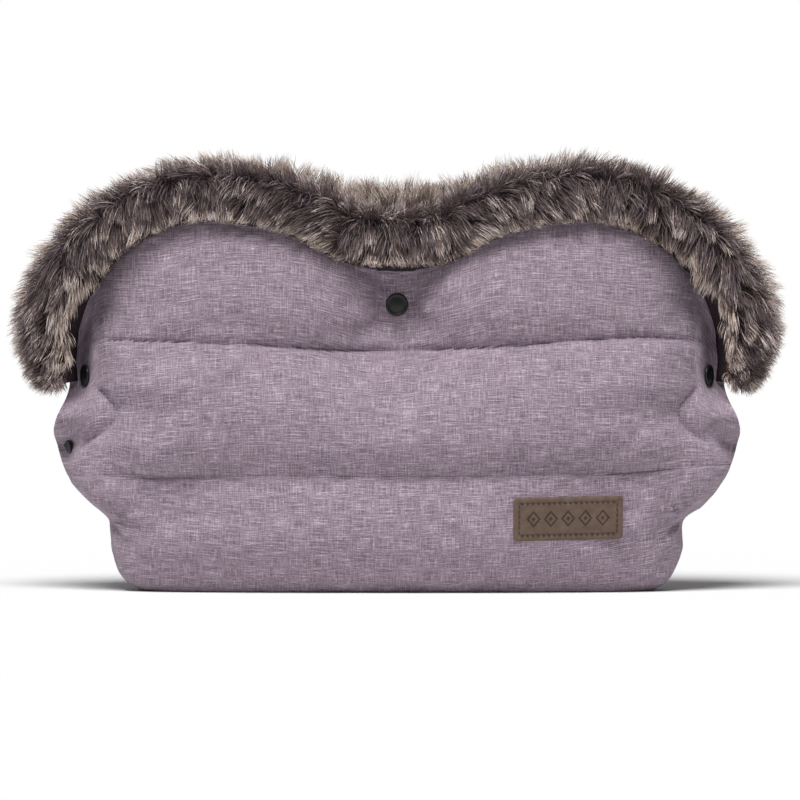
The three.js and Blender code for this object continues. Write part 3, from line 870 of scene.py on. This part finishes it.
def rim_path(count):
    """Points along the trim, its outward and running directions, and its length."""
    half = np.array(RIM, float)
    full = np.concatenate([half, half[-2::-1] * [-1, 1]])
    step = np.linalg.norm(np.diff(full, axis=0), axis=1)
    length = np.concatenate([[0], np.cumsum(step)])
    even = np.linspace(0, length[-1], count)
    line = np.stack([np.interp(even, length, full[:, k]) for k in (0, 1)], 1)
    reach = count // 60
    kernel = np.hanning(2 * reach + 1)
    kernel /= kernel.sum()
    for k in (0, 1):
        held = np.pad(line[:, k], reach, mode="reflect", reflect_type="odd")
        line[:, k] = np.convolve(held, kernel, mode="valid")
    run = np.gradient(line, axis=0)
    run /= np.linalg.norm(run, axis=1, keepdims=True)
    out = np.stack([run[:, 1], -run[:, 0]], 1)
    return line, out, run, length[-1]


def upright(flat, depth=0.0):
    """Points or directions in a flap's plane as points in space."""
    return np.stack([flat[:, 0], np.broadcast_to(depth, len(flat)), flat[:, 1]], 1)


class Trim:
    """The line that one flap's fur follows, and the thickness of its backing."""

    def __init__(self, name, face, count=400):
        self.name, self.flap, self.face, self.count = name, f"{name}_flap", face, count
        self.line, self.out, run, self.length = rim_path(count)
        depth = half_gap(self.line[:, 0] * 0.98, self.line[:, 1] - 4) + 3.5
        kernel = np.hanning(31) / np.hanning(31).sum()
        depth = np.convolve(np.pad(np.maximum(17, depth + 3), 15, mode="edge"), kernel, mode="valid")
        near_end = np.minimum(np.arange(count), count - 1 - np.arange(count)) / count * self.length
        lift = TRIM_OUT - (2.8 if face < 0 else -2.0) - 7.5 * (1 - smooth(near_end, 0, 45))
        if face > 0:
            lift = lift + 6 * np.exp(-((self.line[:, 0] / 45) ** 2))
        self.middle = upright(self.line + self.out * lift[:, None], face * depth)
        self.outward, self.tangent = upright(self.out), upright(run)
        self.forward = np.array([0, face, 0.0])
        ends = np.minimum(near_end / 34.0, 1)
        self.fat = ROLL * np.sqrt(np.clip(1 - (1 - ends) ** 2, 0.03, 1))


def fur_backing(trim):
    """A soft roll with rounded ends."""
    angles = np.arange(28) / 28 * 2 * np.pi
    spokes = (np.cos(angles)[None, :, None] * trim.outward[:, None]
              + np.sin(angles)[None, :, None] * trim.forward)
    points, faces = tube(trim.middle[:, None] + trim.fat[:, None, None] * spokes)
    backing = outwards(make(f"{trim.name}_fur_backing", points, faces, [HIDE]))
    settle(backing, trim.flap, f"{trim.name}_fur_trim")


def fur_binding(trim):
    """A strip that joins the pad's edge to the roll."""
    seam = trim.line - trim.out * 3
    pad_out, pad_in = flap_faces(trim.face, *seam.T)
    root = upright(seam, (pad_out + pad_in) / 2)
    across = trim.middle - root
    flat = np.cross(trim.tangent, across)
    flat /= np.linalg.norm(flat, axis=1, keepdims=True)
    thin, wide = np.abs(pad_out - pad_in)[:, None] * 0.36, trim.fat[:, None] * 0.72
    corners = ((0.0, 1, 0), (0.0, -1, 0), (0.28, -1, 0.5), (0.9, -1, 1), (0.9, 1, 1), (0.28, 1, 0.5))
    strip = np.stack([root + across * share + flat * side * (thin * (1 - w) + wide * w)
                      for share, side, w in corners], 1)
    points, faces = tube(strip)
    binding = outwards(make(f"{trim.name}_fur_binding", points, faces, [HIDE]))
    settle(binding, trim.flap)


def lock_numbers(rng, run_mm, phi):
    """The lock that each strand is in: cells along and around the roll, with ragged borders."""
    along = np.floor(run_mm / 7.0 + rng.uniform(-0.15, 0.15, len(phi))).astype(int) % 4096
    around = np.floor(phi / (2 * np.pi) * 17 + rng.uniform(-0.15, 0.15, len(phi))).astype(int) % 17
    return np.unique(along * 17 + around, return_inverse=True)[1]


def combed(trim, centre, n, tan, phi, flow):
    """Which way each strand is brushed: off the roll's crown, outwards and down at the sides."""
    side_flow = np.where(centre[:, :1] > 0, -tan, tan) * smooth(np.abs(centre[:, :1]), 0, 45)
    front = smooth(np.sin(phi), -0.15, 0.75)[:, None]
    comb = -n * front * 1.05 + n * (1 - front) * 0.95 + side_flow * flow
    comb = comb + trim.forward * 0.15 * front
    away = smooth(np.abs(centre[:, :1]), 170, 225) * (1 - smooth(centre[:, 2:], 180, 240))
    outer_side = np.array([1.0, 0, 0]) * np.sign(centre[:, :1]) + [0, 0, -0.6]
    return comb * (1 - 0.6 * away) + outer_side * away * 0.7


def grow(root, normal, comb, lean, span):
    """Five stations along each strand, which rises, then turns over with the comb."""
    down = np.array([0, 0, -1.0])
    spine = [root - normal * 0.6]
    for portion, rise, flow, drop in ((0.26, 0.9, 0.55, 0.0), (0.27, 0.5, 0.95, 0.10),
                                      (0.25, 0.24, 1.1, 0.20), (0.22, 0.1, 1.15, 0.30)):
        way = normal * rise + comb * flow + lean * (0.5 + flow) + down * drop
        way /= np.linalg.norm(way, axis=1, keepdims=True)
        spine.append(spine[-1] + way * (span * portion)[:, None])
    return np.stack(spine, 1)


def draw_together(spine, lock, locks):
    """Strands of a lock draw together towards its middle."""
    held = np.bincount(lock, minlength=locks)[lock][:, None]
    for station, pull in enumerate((0.0, 0.05, 0.14, 0.26, 0.34)):
        mean = np.stack([np.bincount(lock, spine[:, station, k], locks) for k in range(3)], 1)
        spine[:, station] += (mean[lock] / held - spine[:, station]) * pull


def fur_shades(rng, trim, phi, lock, locks):
    """Shades of each strand's four parts: dark roots, pale tips at the hem and fringe, and painted
    shadow: strands that face the pad are dark all along, a shadow line under the hem.
    """
    strands = len(phi)
    # painted shadow: strands that face the pad turn dark all along, which draws a shadow line beneath
    # the trim
    under = smooth(-np.cos(phi), 0.72, 0.92)
    hem = smooth(np.cos(phi), 0.25, -0.75) if trim.face < 0 else smooth(np.cos(phi), -0.6, 0.7)
    light = rng.normal(0, 1, locks)[lock] * 0.9 + rng.normal(0, 1, strands) * 0.6
    # pale tips at the hem, painted shadow on the strands that face the pad, and a lighter back trim
    light += hem * 2.1 - 0.75 - 4 * under + (0.3 if trim.face > 0 else 0)
    warm = (rng.uniform(0, 1, strands) < 0.35 + 0.4 * hem).astype(int)
    ladder = np.array([[0, 0, 2, 2], [0, 2, 2, 4], [0, 2, 4, 6], [2, 4, 6, 6]])
    return ladder[np.digitize(light, [-0.9, 0.2, 1.2])] + warm[:, None]


def fur_pile(trim, strands, seed):
    """The hair: thin ribbons in locks, rooted all round the backing."""
    rng = np.random.default_rng(seed)
    t = rng.uniform(0, trim.count - 1.001, strands)
    phi = rng.uniform(0, 2 * np.pi, strands)
    station, part_way = t.astype(int), (t - t.astype(int))[:, None]

    def beside(values):
        return values[station] * (1 - part_way) + values[station + 1] * part_way

    centre, n, tan = beside(trim.middle), beside(trim.outward), beside(trim.tangent)
    normal = np.cos(phi)[:, None] * n + np.sin(phi)[:, None] * trim.forward
    root = centre + normal * np.interp(t, np.arange(trim.count), trim.fat)[:, None]
    run_mm = t / trim.count * trim.length
    lock = lock_numbers(rng, run_mm, phi)
    locks = lock.max() + 1
    lean = rng.normal(0, 1, (locks, 3))[lock] * 0.20 + rng.normal(0, 1, (strands, 3)) * 0.13
    flow = 0.45 + np.sin(run_mm / 23.0 + seed)[:, None] * 0.25
    comb = combed(trim, centre, n, tan, phi, flow)
    # shorter at the trim's ends and against the pad, longer behind the middle
    span = rng.uniform(13.0, 20.5, strands) * rng.uniform(0.85, 1.12, locks)[lock]
    span *= np.interp(np.minimum(run_mm, trim.length - run_mm), [0, 40], [0.62, 1])
    span *= 1 - 0.55 * smooth(-np.cos(phi), 0.72, 0.92)
    if trim.face > 0:
        span *= 1 + 0.30 * np.exp(-((centre[:, 0] / 60) ** 2))
    spine = grow(root, normal, comb, lean, span)
    draw_together(spine, lock, locks)
    # the hem: hairs turn aside where they would lie over the pad
    edge = beside(upright(trim.line))
    at_side = smooth(np.abs(centre[:, 0]), 185, 215)
    limit = rng.uniform(-1.5, 2.0, strands) - at_side * rng.uniform(4, 11, strands)
    for k in range(1, 5):
        beyond = np.minimum(((spine[:, k] - edge) * n).sum(1) - limit, 0)[:, None]
        spine[:, k] += -n * beyond * 0.85 - trim.forward * beyond * 0.25
    across = np.cross(spine[:, -1] - spine[:, 0], rng.normal(0, 1, (strands, 3)))
    across /= np.linalg.norm(across, axis=1, keepdims=True)
    half_width = np.array([0.20, 0.20, 0.19, 0.15, 0.04])
    width = rng.uniform(0.75, 1.3, strands)[:, None, None] * half_width[None, :, None]
    points = np.stack([spine - across[:, None] * width, spine + across[:, None] * width], 2)
    tones = fur_shades(rng, trim, phi, lock, locks)
    rungs = np.arange(4) * 2
    ribbon = np.stack([rungs, rungs + 1, rungs + 3, rungs + 2], 1)
    for part, chosen in (("right", centre[:, 0] >= 0), ("left", centre[:, 0] < 0)):
        faces = (np.arange(chosen.sum())[:, None, None] * 10 + ribbon).reshape(-1, 4)
        pile = make(f"{trim.name}_fur_{part}", points[chosen].reshape(-1, 3), faces, HAIR,
                    face_slots=tones[chosen].ravel())
        settle(pile, trim.flap)


def build_fur(name, face, strands, seed):
    trim = Trim(name, face)
    fur_backing(trim)
    fur_binding(trim)
    fur_pile(trim, strands, seed)


# ---- studio ----
def build_studio():
    reach, below = 6000, -0.6
    corners = [(x * reach, y * reach, below) for x, y in ((-1, -1), (1, -1), (1, 1), (-1, 1))]
    floor = make("floor", corners, [(0, 1, 2, 3)], [])
    n = Nodes("pale_floor", Roughness=0.9, Specular_IOR_Level=0.0)
    n.shader.inputs["Base Color"].default_value = (0.86, 0.86, 0.86, 1)
    floor.data.materials.append(n.material)
    world = bpy.data.worlds.new("studio")
    bpy.context.scene.world = world
    world.use_nodes = True
    # a white surround for the view, and a softer one for the light that falls on the muff
    tree = world.node_tree
    seen = tree.nodes["Background"]
    seen.inputs["Color"].default_value = (1, 1, 1, 1)
    soft = tree.nodes.new("ShaderNodeBackground")
    soft.inputs["Strength"].default_value = 0.24
    rays, choice = tree.nodes.new("ShaderNodeLightPath"), tree.nodes.new("ShaderNodeMixShader")
    tree.links.new(rays.outputs["Is Camera Ray"], choice.inputs[0])
    tree.links.new(soft.outputs[0], choice.inputs[1])
    tree.links.new(seen.outputs[0], choice.inputs[2])
    tree.links.new(choice.outputs[0], tree.nodes["World Output"].inputs["Surface"])
    # one broad light from above and in front
    sun = bpy.data.objects.new("key", bpy.data.lights.new("key", "SUN"))
    bpy.context.scene.collection.objects.link(sun)
    sun.data.energy, sun.data.angle = 3.5, math.radians(30)
    sun.rotation_euler = Vector((0.10, 0.56, -1.0)).to_track_quat("-Z", "Y").to_euler()
    camera = bpy.data.objects.new("camera", bpy.data.cameras.new("camera"))
    bpy.context.scene.collection.objects.link(camera)
    distance, wide, tilt = 4.6, 0.528, math.radians(1.2)
    aim = Vector((0.002, 0, 0.125))
    camera.location = aim + Vector((0, -math.cos(tilt), math.sin(tilt))) * distance
    camera.rotation_euler = (aim - camera.location).to_track_quat("-Z", "Y").to_euler()
    camera.data.sensor_width = 36
    camera.data.lens = 36 * distance / wide
    bpy.context.scene.camera = camera
    bpy.context.scene.view_settings.view_transform = "Standard"


build_studio()
build_pouch()
build_flap("front", -1)
build_flap("back", 1)
build_snaps()
build_label()
build_fur("front", -1, 58000, 5)
build_fur("back", 1, 48000, 8)
